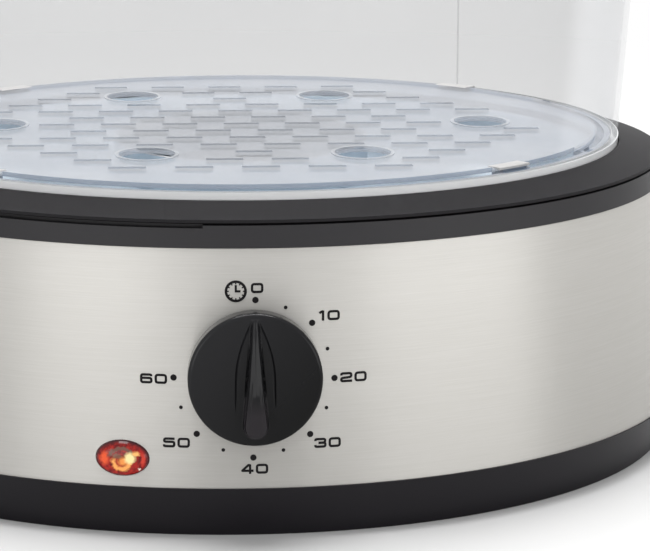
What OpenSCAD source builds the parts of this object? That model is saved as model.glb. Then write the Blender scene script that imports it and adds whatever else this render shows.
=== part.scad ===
// Oval electric steamer with egg seats: base, drip tray, clear basket, floor and lid.
// Millimetres, +Z up. The origin is the middle of the resting plane; the front faces -Y.
// Every oval is a circle drawn with its half width and narrowed in Y by plan_ratio.

/* [Plan] */
// Depth of every oval as a share of its width
plan_ratio = 0.77; // [0.74:0.01:0.80]
// Loose gap between bodies that lift apart
lift_gap = 0.4; // [0.3:0.05:0.6]
// Close gap between fixed pieces of the base
fit_gap = 0.2; // [0.1:0.05:0.3]
// Radial gap of the turning shaft in its bores
shaft_gap = 0.05; // [0.02:0.01:0.08]

/* [Foot] */
// Half width of the black foot at its top edge
foot_r = 161; // [158:0.5:166]
// How much narrower the foot is at the table
foot_flare = 4.7; // [3:0.1:6]
// Height of the top edge of the foot
foot_h = 17.2; // [16:0.2:20]
// Wall of the foot
foot_wall = 3; // [2.5:0.1:3.5]
// Rounding of the bottom edge of the foot
foot_round = 1; // [1:0.1:2.5]
// Underside of the foot's floor above the table
floor_rise = 4; // [4:0.1:5]
// Thickness of the foot's floor
floor_t = 3; // [2.5:0.1:4]
// Height of the rib that stands inside the steel band
rib_h = 7; // [5:0.5:9]
// Thickness of that rib
rib_t = 3; // [2:0.1:3.5]

/* [Rubber feet] */
// Radius of a rubber foot
pad_r = 9; // [7:0.5:11]
// Radius of the stem that plugs into the floor
pad_stem_r = 3; // [2:0.1:4]
// Length of the stem
pad_stem_h = 2; // [1.5:0.1:2.2]
// Angle round the oval at which a rubber foot stands
pad_angle = 28.4; // [24:0.2:34]
// Distance of a rubber foot's middle from the inside of the foot
pad_inset = 16.9; // [15:0.1:24]

/* [Steel band] */
// Height of the steel band
band_h = 77.2; // [76:0.2:84]
// Thickness of the steel
band_t = 1; // [0.8:0.1:1.2]
// How far the band stands in from the edge of the foot
band_inset = 0.7; // [0.4:0.1:1.5]
// How much narrower the band is at its top
band_taper = 8.8; // [7:0.1:10]

/* [Reservoir] */
// Height of the black rim above the steel band
rim_h = 7.3; // [6:0.1:9]
// How far the rim stands out past the top of the band
rim_over = 0.4; // [0.2:0.1:1]
// How much narrower the rim is at its top
rim_taper = 0.8; // [0:0.1:1.5]
// Width of the rim, from the band to the mouth of the reservoir
rim_w = 16.3; // [14:0.1:17]
// How much narrower the reservoir is at its floor
bowl_slope = 10; // [8:0.5:12]
// Height of the floor of the reservoir above the foot's floor
bowl_rise = 72; // [71:0.2:73]
// Thickness of the reservoir's wall and floor
bowl_t = 3; // [2.5:0.1:3]
// Height of the seat bead that carries the drip tray, above the rim
bead_h = 0.5; // [0.3:0.1:0.7]
// Radial gap between the tray's flange and the mouth
mouth_gap = 1; // [0.8:0.1:1.4]
// Radius of the opening for the heater plate
heater_open_r = 34; // [33:0.5:36]
// Radius of a screw post
post_r = 4.5; // [4:0.1:6]
// Angle round the oval at which a screw post stands
post_angle = 33; // [28:1:38]
// Distance of a screw post's middle from the edge of the reservoir's floor
post_inset = 14.3; // [10:0.1:20]

/* [Base screws] */
// Radius of the screw's thread
screw_r = 1.9; // [1.5:0.1:2.2]
// Radius of the screw's head
screw_head_r = 3.6; // [3:0.1:4]
// Height of the screw's head
screw_head_h = 2.2; // [1.8:0.1:2.6]
// Length of the screw under its head
screw_len = 18; // [14:1:24]

/* [Heater] */
// Radius of the heater plate
plate_r = 39; // [38:0.5:41]
// Thickness of the heater plate
plate_t = 2; // [1.5:0.1:2.5]
// Thickness of the seal under the plate
seal_t = 1.6; // [1.2:0.1:2]
// Radius of the element's tube
element_r = 3.2; // [2.8:0.1:3.5]
// Radius of the element's cold ends
leg_r = 3; // [2.4:0.1:3]
// Radius of the bend of the element
element_bend_r = 21; // [19:0.5:22]
// Length of the element's cold ends
element_leg = 16; // [12:1:24]
// Angle left open between the two ends of the element
element_gap = 50; // [40:2:70]
// Radius of the circle of studs
stud_ring_r = 30; // [29:0.5:31]
// Radius of a stud
stud_r = 1.5; // [1.2:0.1:1.8]
// Angles at which the studs stand
stud_angles = [30, 150, 270];
// Thickness of the clamp ring
clamp_t = 1.5; // [1:0.1:2]
// Gap between the clamp ring and the element
clamp_gap = 1; // [0.6:0.1:1.5]
// Outer radius of the clamp ring
clamp_r = 42; // [40:0.5:46]
// Radius across the corners of a nut
nut_r = 3; // [2.8:0.1:3.2]
// Height of a nut
nut_h = 2.4; // [2:0.1:3]
// Radius of the thermostat
thermostat_r = 8; // [7:0.5:10]
// Height of the thermostat
thermostat_h = 7; // [5:0.5:9]
// Width of a blade terminal
blade_w = 3; // [2.8:0.1:5]
// Thickness of a blade terminal
blade_t = 0.8; // [0.5:0.1:1]
// Length of a blade terminal
blade_len = 7; // [5:0.5:9]
// Radius of the thermal fuse
fuse_r = 2.2; // [1.8:0.1:2.4]
// Length of the thermal fuse
fuse_len = 18; // [14:1:20]

/* [Timer] */
// Height of the timer's axis above the table
dial_z = 54.5; // [51:0.5:56]
// Width and height of the timer's case
case_w = 42; // [38:0.5:42]
// Depth of the timer's case
case_d = 18; // [16:0.5:20]
// Wall of the timer's case
case_t = 1.6; // [1.2:0.1:2]
// Distance from the front of the band to the front of the case
case_back = 7.6; // [7:0.1:9]
// Thickness of the case's cover
cover_t = 1.6; // [1.2:0.1:2]
// Radius of the bosses that stand between the case and the band
boss_r = 4; // [3.5:0.1:4.5]
// Distance of a boss from the timer's axis
boss_x = 14; // [13:0.5:15]
// Radius of the head of a timer screw
timer_head_r = 3; // [2.6:0.1:3.4]
// Height of the head of a timer screw
timer_head_h = 0.8; // [0.6:0.1:1]
// Radius of the thread of a timer screw
timer_screw_r = 1.5; // [1.2:0.1:1.8]
// Radius of the timer's shaft
shaft_r = 3; // [2.5:0.1:3.5]
// Radius of the shaft's hole in the band
shaft_hole_r = 5; // [4.5:0.1:6]
// Radius of the cam on the shaft
cam_r = 12; // [10:0.5:13]
// Gap between the cam and the front of the case
cam_gap = 3; // [2:0.5:4]
// Thickness of the cam
cam_t = 3; // [2:0.5:4]
// Depth of the cam's notch
cam_notch = 3; // [2:0.5:4]
// Width of a contact leaf
leaf_w = 5; // [4:0.5:6]
// Thickness of a contact leaf
leaf_t = 0.5; // [0.3:0.1:0.8]
// Length of a contact leaf
leaf_len = 29; // [26:1:32]
// Distance between the two contact leaves
leaf_step = 2.5; // [2:0.1:3]
// Length of the block that holds the leaves apart
leaf_block = 4; // [3:0.5:6]
// Radius of the bell
bell_r = 14; // [11:0.5:16]
// Depth of the bell
bell_h = 8; // [6:0.5:10]
// Wall of the bell
bell_t = 1; // [0.8:0.1:1.5]
// Radius of the post that carries the bell
bell_post_r = 2; // [1.5:0.1:3]

/* [Knob] */
// Radius of the knob
knob_r = 21.2; // [19:0.2:22]
// Thickness of the knob's disc
knob_t = 9; // [7:0.5:11]
// Gap between the knob and the band
knob_gap = 1.2; // [1:0.1:2]
// Width of the knob's bevel
knob_bevel = 1.6; // [1:0.1:2.4]
// Height of the grip above the disc
grip_h = 6; // [4:0.5:8]
// Half width of the grip at its round end
grip_r = 4.2; // [3.5:0.1:5]
// Half width of the grip at its pointed end
grip_tip_r = 1; // [0.8:0.1:1.5]
// How far the ends of the grip stay inside the disc's edge
grip_margin = 2.4; // [2:0.1:4]
// Depth of the shaft's socket in the knob
socket_h = 7; // [5:0.5:8]

/* [Pilot lamp] */
// Distance of the lamp to the left of the timer's axis
lamp_x = 42; // [40:0.5:46]
// Height of the lamp above the table
lamp_z = 26.5; // [25.5:0.5:30]
// Width of the lens
lens_w = 17.2; // [15:0.2:18]
// Height of the lens
lens_h = 11.6; // [10:0.2:12]
// How far the lens stands out of the band
lens_dome = 2.6; // [1.5:0.1:3.5]
// Width of the lens's inner flange
lens_flange = 1.4; // [1:0.1:1.6]
// Thickness of the lens's inner flange
lens_flange_t = 2; // [1.5:0.1:2.5]
// Radius of the neon bulb
neon_r = 3; // [2:0.1:3.2]
// Length of the neon bulb
neon_len = 11; // [8:0.5:12]
// Wall of the lamp's holder
holder_t = 1.5; // [1:0.1:2]

/* [Supply] */
// Height of the cord's gland above the table
gland_z = 36; // [32:1:44]
// Radius of the gland's neck
gland_r = 6; // [5:0.5:8]
// Radius of the cord's hole in the gland
gland_hole_r = 3.5; // [3:0.1:4]
// Radius of the gland's flange
gland_flange_r = 9; // [8.5:0.5:11]
// Thickness of the gland's flange
gland_flange_t = 2; // [1.5:0.1:3]
// Width of the terminal block
block_w = 30; // [24:1:36]
// Depth of the terminal block
block_d = 14; // [10:1:18]
// Height of the terminal block
block_h = 12; // [8:1:16]
// Distance from the back of the foot to the terminal block
block_gap = 31; // [26:1:36]
// Radius of a terminal's screw well
well_r = 2; // [1.5:0.1:2.5]

/* [Drip tray] */
// Height of the groove under the tray's rim
groove_h = 0.8; // [0.8:0.1:1.2]
// Height of the tray's sloped black ring
ring_h = 4.6; // [4:0.1:6]
// Width of the slope
slope_w = 14; // [13:0.1:15]
// Width of the flat lip at the top of the slope
lip_w = 1; // [0.6:0.1:1.4]
// Depth of the seat for the basket inside the lip
seat_h = 2.1; // [1.8:0.1:2.4]
// How much narrower the tray's bowl is at its floor
tray_slope = 11.4; // [9:0.1:14]
// Depth of the tray's bowl
tray_h = 9; // [7:0.5:10]
// Thickness of the tray's bowl
tray_t = 1.6; // [1.2:0.1:2]
// Radius of the steam opening
collar_r = 44; // [40:0.5:48]
// Height of the collar above the tray's floor
collar_h = 13; // [8:0.5:13]
// Angle from the front at which the finger notch ends
notch_end = 6; // [4:0.5:10]
// Length of the finger notch in the groove
notch_len = 120; // [80:1:140]
// Depth of the finger notch into the rim
notch_d = 3; // [2:0.1:4]
// Extra height of the finger notch
notch_h = 0.9; // [0.6:0.1:1.2]

/* [Basket] */
// Width of the basket's foot ring
foot_ring_w = 5.5; // [5:0.1:6]
// Height of the basket's foot ring
foot_ring_h = 4.2; // [3.8:0.1:5]
// Width of the ledge for the floor
ledge_w = 3; // [2.5:0.1:3.2]
// Depth of the ledge below the top of the foot ring
ledge_h = 1.6; // [1.4:0.1:1.8]
// Height of the basket's wall above its foot
wall_h = 86; // [70:1:110]
// How much wider the wall is at its top
wall_flare = 5; // [3:0.1:7]
// Thickness of the wall
wall_t = 2; // [1.6:0.1:2.3]
// How far the wall stands in from the foot ring
wall_inset = 0.3; // [0.1:0.1:0.6]

/* [Basket floor] */
// Thickness of the floor
disc_t = 1.6; // [1.2:0.1:1.8]
// Thickness of the floor's outer rim, which rests on the ledge
disc_rim_t = 1.2; // [1:0.1:1.4]
// Width of the outer rim
disc_rim_w = 2; // [1.6:0.1:2.4]
// How far the plate lies above the rim
disc_step = 1.6; // [1.2:0.1:2]
// Width of the arc slots beside the rim
arc_slot_w = 3.5; // [3:0.1:5]
// Angle of a bridge across the arc slot, from the front
bridge_at = 50; // [38:1:54]
// Width of a bridge, in degrees round the oval
bridge_w = 7; // [3:0.5:8]
// Angle where the arc slots end, from the front
arc_end = 68; // [56:1:72]
// Radius of the hole of an egg seat
seat_hole_r = 9.6; // [8:0.1:11]
// Width of the collar round an egg seat
seat_collar_w = 1.2; // [1:0.1:3]
// Height of the collar round an egg seat
seat_collar_h = 0.4; // [0.2:0.1:2.5]
// Half the distance between the two seats of a row
seat_x = 36.5; // [34:0.5:40]
// Distance of a row of seats from the middle
seat_y = 52; // [46:0.5:56]
// Distance of the end seats from the middle
seat_end_x = 86.5; // [82:0.5:92]
// How far the front row stands to the right and the rear row to the left
seat_lean = 3; // [0:0.5:6]
// Length of a steam slot
slot_len = 12.5; // [10:0.5:15]
// Width of a steam slot
slot_w = 3; // [2:0.1:4]
// Distance between the slots of a row
slot_pitch = 22; // [20:0.5:26]
// Distance between the rows of slots
row_pitch = 12; // [10:0.5:15]
// Bare edge round the field of slots
slot_margin = 16; // [12:1:24]

/* [Lid] */
// Height of the lid's dome above its rim
dome_h = 26; // [18:1:36]
// Half width of the flat top of the dome
dome_flat_r = 56; // [54:1:60]
// Thickness of the lid
lid_t = 2; // [1.6:0.1:2.6]
// Width of the lid's rim that lies on the wall
lid_rim_w = 4; // [3.6:0.1:5]
// Depth of the lid's skirt inside the wall
skirt_h = 4; // [3:0.5:6]
// Radius of a steam hole in the lid
vent_r = 2.5; // [1.5:0.1:3.5]
// Distance of a steam hole from the middle of the lid
vent_y = 18; // [14:1:24]
// Half the length of the handle
handle_x = 38; // [34:1:41]
// Radius of the bar of the handle
handle_bar_r = 6; // [5:0.5:7]
// Height of the handle above the lid
handle_h = 26; // [24:1:34]
// Length of the handle's screws
lid_screw_len = 9; // [7:0.5:10]

/* [Hidden] */
$fn = 96;

// A short length that carries a cut past the face it opens
over = 1;

// Levels of the base, from the table up
floor_top = floor_rise + floor_t;
band_top = foot_h + band_h;
rim_base = band_top + fit_gap;
rim_top = band_top + rim_h;
bead_top = rim_top + bead_h;
bowl_floor = floor_top + bowl_rise;
bowl_under = bowl_floor - bowl_t;

// Half widths of the band, outside, at a height above the table
band_r = foot_r - band_inset;
function band_at(z) = band_r - band_taper * (z - foot_h) / band_h;
band_lean = atan(plan_ratio * band_taper / band_h);
rim_r = band_at(band_top) + rim_over;
rim_in_r = band_at(band_top) - band_t - fit_gap;
mouth_r = rim_in_r - rim_w;
bowl_r = mouth_r - bowl_slope;

// What stands inside the base keeps its distance from the walls
foot_in_r = foot_r - foot_flare - foot_wall;
pad_x = (foot_in_r - pad_inset) * cos(pad_angle);
pad_y = plan_ratio * (foot_in_r - pad_inset) * sin(pad_angle);
post_x = (bowl_r - post_inset) * cos(post_angle);
post_y = plan_ratio * (bowl_r - post_inset) * sin(post_angle);
block_y = plan_ratio * foot_r - block_gap - block_d / 2;

// Where the band's surface lies at a place x and a height z, and which way it faces
function band_y(x, z) = -plan_ratio * sqrt(pow(band_at(z), 2) - x * x);
function band_turn(x, z) = atan(plan_ratio * x / sqrt(pow(band_at(z), 2) - x * x));

// Levels of the heater, which hangs in the opening of the reservoir's floor
seal_top = bowl_floor + seal_t;
element_z = seal_top - element_r;
clamp_z = bowl_under - clamp_t;
nut_z = clamp_z - nut_h;

// Planes of the timer along its axis, counted from the front of the band to the back
case_end = case_back + case_d;
cover_end = case_end + cover_t;
knob_front = -knob_gap - knob_t;
shaft_front = fit_gap - knob_gap - socket_h;
cam_front = case_back + case_t + cam_gap;
// How far the band curves back at the edges of a boss and of a screw's head
boss_sag = band_y(boss_x + boss_r, dial_z) - band_y(0, dial_z);
head_sag = band_y(boss_x - timer_head_r, dial_z) - band_y(0, dial_z);

// Back of the lens, counted from the front of the band
lens_back = band_t + lift_gap + lens_flange_t;

// The drip tray: its ring stands on the bead, its bowl hangs in the reservoir's mouth
ring_z = rim_top + groove_h;
ring_top = ring_z + ring_h;
ring_r = rim_r - rim_taper;
lip_r = ring_r - slope_w;
seat_r = lip_r - lip_w;
seat_z = ring_top - seat_h;
ring_in_r = seat_r - foot_ring_w - fit_gap;
tray_r = ring_in_r - tray_slope;
tray_flange_r = mouth_r - mouth_gap;
tray_floor = ring_z - tray_h;

// The basket, its floor and its lid
basket_r = seat_r - lift_gap;
basket_z = seat_z + lift_gap / 2;
foot_ring_top = basket_z + foot_ring_h;
wall_r = basket_r - wall_inset;
wall_top = foot_ring_top + wall_h;
wall_top_r = wall_r + wall_flare;
ledge_z = foot_ring_top - ledge_h;
ledge_out_r = basket_r - foot_ring_w + ledge_w;
disc_r = ledge_out_r - lift_gap;
disc_rim_z = ledge_z + lift_gap / 2;
plate_r_out = disc_r - disc_rim_w - arc_slot_w;
disc_z = disc_rim_z + disc_rim_t + disc_step - disc_t;
disc_top = disc_z + disc_t;
lid_z = wall_top + lift_gap / 2;
lid_r = wall_top_r;
skirt_r = wall_top_r - wall_t - wall_flare * skirt_h / wall_h - lift_gap;
dome_r = lid_r - lid_rim_w;
lid_top = lid_z + lid_t + dome_h;
handle_foot_x = handle_x - handle_bar_r;

// Draws its children, made with their half width, as ovals
module oval() { scale([1, plan_ratio, 1]) children(); }

// Turns an outline of half widths and heights into an oval ring or bowl, a quarter at a time
module oval_ring(outline) {
  for (a = [0:90:270]) oval() rotate([0, 0, a]) rotate_extrude(angle = 90) polygon(outline);
}

// An upright oval disc with half width r
module oval_disc(r, h) { oval() cylinder(r = r, h = h); }

// Places its children with -Y pointing out of the band at x and z
module on_band(x, z) {
  translate([x, band_y(x, z), z]) rotate([0, 0, band_turn(x, z)]) rotate([-band_lean, 0, 0])
    children();
}

// A cylinder along +Y that starts at the plane y
module rod(r, y, length) { translate([0, y, 0]) rotate([-90, 0, 0]) cylinder(r = r, h = length); }

// Copies its children to the four places (x, y) and their mirrors
module four(x, y) { for (sx = [-1, 1], sy = [-1, 1]) translate([sx * x, sy * y, 0]) children(); }

// Places its children on the timer's axis, which stands square to the leaning band
module on_dial() { on_band(0, dial_z) children(); }

// Places its children at the pilot lamp and flattens them to the shape of its lens
module on_lamp() { on_band(-lamp_x, lamp_z) scale([1, 1, lens_h / lens_w]) children(); }

// Points of a quarter circle round (x, z) from angle a0 to a1
function arc(x, z, r, a0, a1, steps) =
  [for (i = [0:steps]) let (a = a0 + (a1 - a0) * i / steps) [x + r * cos(a), z + r * sin(a)]];

module base_shell() {
  low_r = foot_r - foot_flare;
  rib_r = band_at(foot_h + rib_h) - band_t - fit_gap;
  color("#26242a") difference() {
    oval_ring(concat(
      [[0, floor_rise], [foot_in_r, floor_rise], [foot_in_r, 0]],
      arc(low_r - foot_round, foot_round, foot_round, -90, 0, 3),
      [[foot_r, foot_h], [rib_r, foot_h], [rib_r, foot_h + rib_h],
       [rib_r - rib_t, foot_h + rib_h], [foot_in_r, floor_top], [0, floor_top]]));
    four(pad_x, pad_y) translate([0, 0, floor_rise - over])
      cylinder(r = pad_stem_r + fit_gap, h = pad_stem_h + fit_gap + over);
    four(post_x, post_y) translate([0, 0, floor_rise - over])
      cylinder(r = screw_r + fit_gap, h = floor_t + 2 * over);
    on_lamp() rod(lens_w / 2 + lens_flange + fit_gap, -over, lens_back + rib_t + over);
  }
}

module rubber_feet() {
  color("#1c1c1e") four(pad_x, pad_y) {
    cylinder(r = pad_r, h = floor_rise);
    cylinder(r = pad_stem_r, h = floor_rise + pad_stem_h);
  }
}

module base_screws() {
  color("#9a9a9c") four(post_x, post_y) translate([0, 0, floor_rise]) {
    translate([0, 0, -screw_head_h]) cylinder(r = screw_head_r, h = screw_head_h);
    cylinder(r = screw_r, h = screw_len);
  }
}

module steel_band() {
  top_r = band_at(band_top);
  color("#c4c1bd") difference() {
    oval_ring([[band_r - band_t, foot_h], [band_r, foot_h], [top_r, band_top],
               [top_r - band_t, band_top]]);
    on_dial() rod(shaft_hole_r, -over, 2 * (band_t + over));
    on_dial() for (s = [-1, 1]) translate([s * boss_x, 0, 0])
      rod(timer_screw_r + fit_gap, -over, 2 * (band_t + over));
    on_lamp() rod(lens_w / 2 + fit_gap, -over, 2 * over + 2 * band_t);
    mirror([0, 1, 0]) on_band(0, gland_z) rod(gland_r + fit_gap, -over, 2 * (band_t + over));
  }
}

module water_tank() {
  skirt_z = band_top - rib_h;
  bead_r = (mouth_r + rim_in_r) / 2;
  color("#3c3b3e") difference() {
    union() {
      oval_ring([
        [0, bowl_under], [bowl_r, bowl_under], [mouth_r + bowl_t, skirt_z + over],
        [mouth_r + bowl_t, rim_base], [rim_in_r - rib_t, rim_base], [rim_in_r - rib_t, skirt_z],
        [rim_in_r, skirt_z], [rim_in_r, rim_base], [rim_r, rim_base],
        [rim_r - rim_taper, rim_top], [bead_r + rib_t, rim_top], [bead_r + rib_t, bead_top],
        [mouth_r, bead_top], [mouth_r, bead_top - rim_h], [bowl_r, bowl_floor],
        [0, bowl_floor]]);
      four(post_x, post_y) translate([0, 0, floor_top]) cylinder(r = post_r, h = bowl_rise - over);
    }
    translate([0, 0, bowl_under - over]) cylinder(r = heater_open_r, h = bowl_t + 2 * over);
    four(post_x, post_y) translate([0, 0, floor_top - over])
      cylinder(r = screw_r + fit_gap / 2, h = screw_len - floor_t + 2 * over);
    finger_notch();
  }
}

// The long shallow relief in the outer edge of the rim, at the front left
module finger_notch() {
  end_x = rim_r * sin(notch_end);
  intersection() {
    translate([0, 0, rim_top - notch_h]) difference() {
      oval_disc(rim_r + over, notch_h + over);
      translate([0, 0, -over]) oval_disc(rim_r - rim_taper - notch_d, notch_h + 3 * over);
    }
    translate([-end_x - notch_len, -rim_r, rim_top - notch_h - over])
      cube([notch_len, rim_r, notch_h + 3 * over]);
  }
}

module heater_plate() {
  color("#b9b7b2") {
    translate([0, 0, seal_top]) cylinder(r = plate_r, h = plate_t);
    for (a = stud_angles) rotate([0, 0, a]) translate([stud_ring_r, 0, nut_z - over])
      cylinder(r = stud_r, h = seal_top - nut_z + over + plate_t / 2);
  }
}

module heater_element() {
  color("#8d8a86") {
    translate([0, 0, element_z]) rotate([0, 0, 90 + element_gap / 2])
      rotate_extrude(angle = 360 - element_gap) translate([element_bend_r, 0]) circle(r = element_r);
    for (s = [-1, 1]) rotate([0, 0, 90 + s * element_gap / 2])
      translate([element_bend_r, 0, element_z - element_leg])
        cylinder(r = leg_r, h = element_leg);
  }
}

module heater_seal() {
  color("#b4442e") translate([0, 0, bowl_floor]) difference() {
    cylinder(r = plate_r, h = seal_t);
    translate([0, 0, -over]) cylinder(r = heater_open_r, h = seal_t + 2 * over);
  }
}

module heater_clamp() {
  in_r = element_bend_r + element_r + clamp_gap;
  color("#a8a6a2") translate([0, 0, clamp_z]) difference() {
    cylinder(r = clamp_r, h = clamp_t);
    translate([0, 0, -over]) cylinder(r = in_r, h = clamp_t + 2 * over);
    for (a = stud_angles) rotate([0, 0, a]) translate([stud_ring_r, 0, -over])
      cylinder(r = stud_r + fit_gap, h = clamp_t + 2 * over);
  }
}

module heater_nuts() {
  color("#9a9a9c") for (a = stud_angles) rotate([0, 0, a])
    translate([stud_ring_r, 0, nut_z]) difference() {
      cylinder(r = nut_r, h = nut_h, $fn = 6);
      translate([0, 0, -over]) cylinder(r = stud_r + fit_gap / 4, h = nut_h + 2 * over);
    }
}

module thermostat() {
  color("#cfc8b8") translate([0, 0, seal_top - thermostat_h]) {
    cylinder(r = thermostat_r, h = thermostat_h);
    for (s = [-1, 1]) translate([s * thermostat_r / 2 - blade_w / 2, -blade_t / 2, -blade_len])
      cube([blade_w, blade_t, blade_len + over]);
  }
}

module thermal_fuse() {
  y = (thermostat_r + element_bend_r - element_r) / 2;
  color("#d8d2c4") translate([-fuse_len / 2, -y, seal_top - fuse_r]) rotate([0, 90, 0])
    cylinder(r = fuse_r, h = fuse_len);
}

module timer_screws() {
  color("#9a9a9c") on_dial() for (s = [-1, 1]) translate([s * boss_x, 0, 0]) {
    rod(timer_head_r, head_sag - timer_head_h, timer_head_h);
    rod(timer_screw_r, head_sag, case_back - head_sag - fit_gap);
  }
}

module timer_case() {
  boss_front = boss_sag + band_t + fit_gap;
  color("#d9d6cc") on_dial() difference() {
    union() {
      translate([-case_w / 2, case_back, -case_w / 2]) difference() {
        cube([case_w, case_d, case_w]);
        translate([case_t, case_t, case_t])
          cube([case_w - 2 * case_t, case_d, case_w - 2 * case_t]);
      }
      for (s = [-1, 1]) translate([s * boss_x, 0, 0])
        rod(boss_r, boss_front, case_back - boss_front + case_t / 2);
    }
    rod(shaft_r + shaft_gap, case_back - over, case_t + 2 * over);
    for (s = [-1, 1]) translate([s * boss_x, 0, 0])
      rod(timer_screw_r + fit_gap / 2, boss_front - over, case_back - boss_front + over);
  }
}

module timer_cover() {
  color("#b0aeaa") on_dial() difference() {
    union() {
      translate([-case_w / 2, case_end, -case_w / 2]) cube([case_w, cover_t, case_w]);
      rod(bell_post_r, case_end + cover_t / 2, cover_t / 2 + bell_h);
    }
    rod(shaft_r + shaft_gap, case_end - over, cover_t / 2 + over);
  }
}

module timer_bell() {
  hole_r = bell_post_r + fit_gap / 2;
  color("#c9c2ae") on_dial() translate([0, cover_end + bell_h, 0]) rotate([90, 0, 0])
    rotate_extrude() polygon([[hole_r, 0], [bell_r - bell_t, 0], [bell_r, bell_t],
      [bell_r, bell_h - over], [bell_r - bell_t, bell_h - over], [bell_r - bell_t, bell_t],
      [hole_r, bell_t]]);
}

module timer_contacts() {
  low_z = cam_r + lift_gap;
  color("#c98a4b") on_dial() for (i = [0, 1])
    translate([case_t - case_w / 2, cam_front + (cam_t - leaf_w) / 2, low_z + i * leaf_step])
      cube([leaf_len, leaf_w, leaf_t]);
  color("#7a3f26") on_dial()
    translate([case_t - case_w / 2, cam_front + (cam_t - leaf_w) / 2, low_z + leaf_t])
      cube([leaf_block, leaf_w, leaf_step - leaf_t]);
}

module timer_shaft() {
  back_end = case_end + cover_t / 2 - fit_gap;
  color("#b8b6b0") on_dial() rod(shaft_r, shaft_front, back_end - shaft_front);
}

module timer_cam() {
  color("#e4e0d4") on_dial() difference() {
    rod(cam_r, cam_front, cam_t);
    rod(shaft_r + shaft_gap / 2, cam_front - over, cam_t + 2 * over);
    translate([-cam_notch, cam_front - over, cam_r - cam_notch])
      cube([2 * cam_notch, cam_t + 2 * over, 2 * cam_notch]);
  }
}

module timer_knob() {
  tip_z = knob_r - grip_margin - grip_tip_r;
  end_z = knob_r - grip_margin - grip_r;
  color("#1e1d20") on_dial() difference() {
    union() {
      translate([0, -knob_gap, 0]) rotate([90, 0, 0]) rotate_extrude() polygon(concat(
        [[0, 0], [knob_r, 0]],
        arc(knob_r - knob_bevel, knob_t - knob_bevel, knob_bevel, 0, 90, 4), [[0, knob_t]]));
      hull() {
        translate([0, 0, tip_z]) rod(grip_tip_r, knob_front - grip_h / 2, grip_h, $fn = 32);
        translate([0, 0, -end_z]) rod(grip_r, knob_front - grip_h, grip_h + over, $fn = 32);
      }
    }
    rod(shaft_r + shaft_gap / 2, -knob_gap - socket_h, socket_h + over);
  }
}

module lamp_lens() {
  r = lens_w / 2;
  shelf = band_t + lift_gap;
  color("#c41f14") on_lamp() for (a = [0:90:270])
    rotate([90, 0, 0]) rotate([0, 0, a]) rotate_extrude(angle = 90) polygon(concat(
      [[0, -shelf - lens_flange_t], [r + lens_flange, -shelf - lens_flange_t],
       [r + lens_flange, -shelf], [r, -shelf]],
      [for (a = [0:15:75]) [r * cos(a), lens_dome * sin(a)]], [[0, lens_dome]]));
}

module lamp_holder() {
  depth = neon_len + holder_t + fit_gap;
  color("#e0dccf") on_band(-lamp_x, lamp_z) difference() {
    rod(neon_r + fit_gap + holder_t, lens_back, depth);
    rod(neon_r + fit_gap, lens_back - over, depth - holder_t + over);
  }
}

module neon_bulb() {
  color("#ff7a1a") on_band(-lamp_x, lamp_z) rod(neon_r, lens_back + fit_gap, neon_len);
}

module cord_gland() {
  front = -gland_flange_t - lift_gap;
  back = band_t + lift_gap;
  length = back + gland_flange_t - front;
  color("#1c1c1e") mirror([0, 1, 0]) on_band(0, gland_z) difference() {
    union() {
      rod(gland_flange_r, front, gland_flange_t);
      rod(gland_r, front, length);
      rod(gland_flange_r, back, gland_flange_t);
    }
    rod(gland_hole_r, front - over, length + 2 * over);
  }
}

module terminal_block() {
  step = block_w / 3;
  color("#e8e4d8") translate([-block_w / 2, block_y - block_d / 2, floor_top]) difference() {
    cube([block_w, block_d, block_h]);
    for (i = [0:2]) translate([step * (i + 0.5), block_d / 2, block_h / 2])
      cylinder(r = well_r, h = block_h);
  }
}

module tray_ring() {
  color("#434245") oval_ring([
    [ring_in_r, ring_z], [ring_r, ring_z], [ring_r, ring_z + lip_w], [lip_r, ring_top],
    [seat_r, ring_top], [seat_r, seat_z], [ring_in_r, seat_z]]);
}

module drip_tray() {
  in_r = ring_in_r - tray_t;
  low_z = tray_floor - tray_t;
  color("#9aa6b6") difference() {
    union() {
      oval_ring([
        [0, low_z], [tray_r, low_z], [in_r, ring_z - tray_t], [tray_flange_r, ring_z - tray_t],
        [tray_flange_r, ring_z], [in_r - tray_t, ring_z], [tray_r - tray_t, tray_floor],
        [0, tray_floor]]);
      translate([0, 0, low_z]) cylinder(r = collar_r + tray_t, h = tray_t + collar_h);
    }
    translate([0, 0, low_z - over]) cylinder(r = collar_r, h = tray_t + collar_h + 2 * over);
  }
}

module basket_wall() {
  in_r = basket_r - foot_ring_w;
  color("#dfe6ec", 0.4) oval_ring([
    [in_r, basket_z], [basket_r, basket_z], [basket_r, foot_ring_top], [wall_r, foot_ring_top],
    [wall_top_r, wall_top], [wall_top_r - wall_t, wall_top], [wall_r - wall_t, foot_ring_top],
    [ledge_out_r, foot_ring_top], [ledge_out_r, ledge_z], [in_r, ledge_z]]);
}

// Middles of the egg seats
function egg_seats() = [
  for (s = [-1, 1]) [s * seat_x + seat_lean, -seat_y],
  for (s = [-1, 1]) [s * seat_x - seat_lean, seat_y],
  for (s = [-1, 1]) [s * seat_end_x, 0]];

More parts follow.
